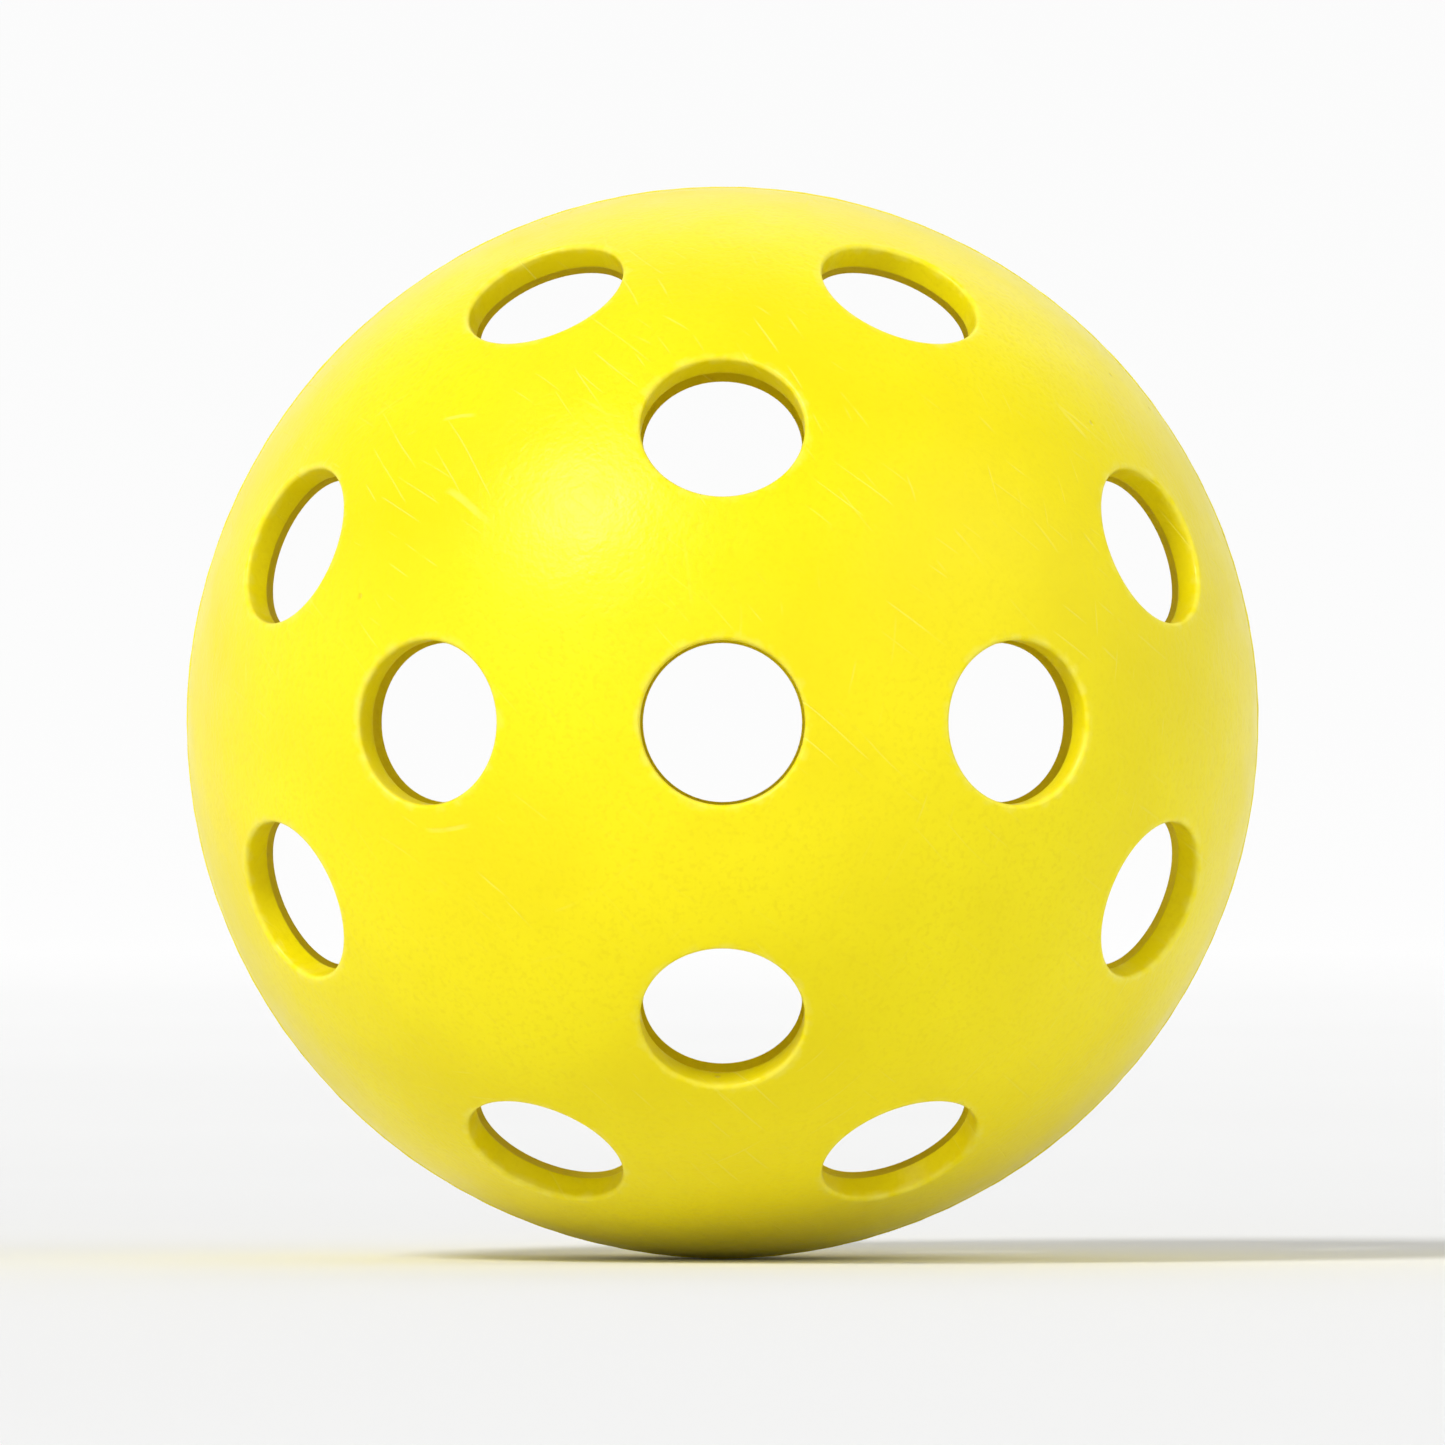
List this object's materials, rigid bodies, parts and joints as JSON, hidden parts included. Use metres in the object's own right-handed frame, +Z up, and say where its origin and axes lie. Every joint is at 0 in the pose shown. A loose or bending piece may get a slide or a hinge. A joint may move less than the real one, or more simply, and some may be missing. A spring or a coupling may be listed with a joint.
{
  "type": "pickleball ball",
  "caption": "Hollow perforated ball of moulded half shells welded at the equator, for indoor pickleball.",
  "frame": {"origin": "the ball's centre, on the weld plane", "axes": "+Y along the pole axis from the front pole hole to the rear one; +Z up; the weld plane is y = 0"},
  "size_m": [0.0742, 0.073, 0.0742],
  "materials": {
    "shell_plastic": "satin",
    "weld_plastic": "satin"
  },
  "bodies": {
    "root": {"front_half_shell": "shell_plastic", "rear_half_shell": "shell_plastic", "weld_bead": "weld_plastic"}
  },
  "joints": []
}
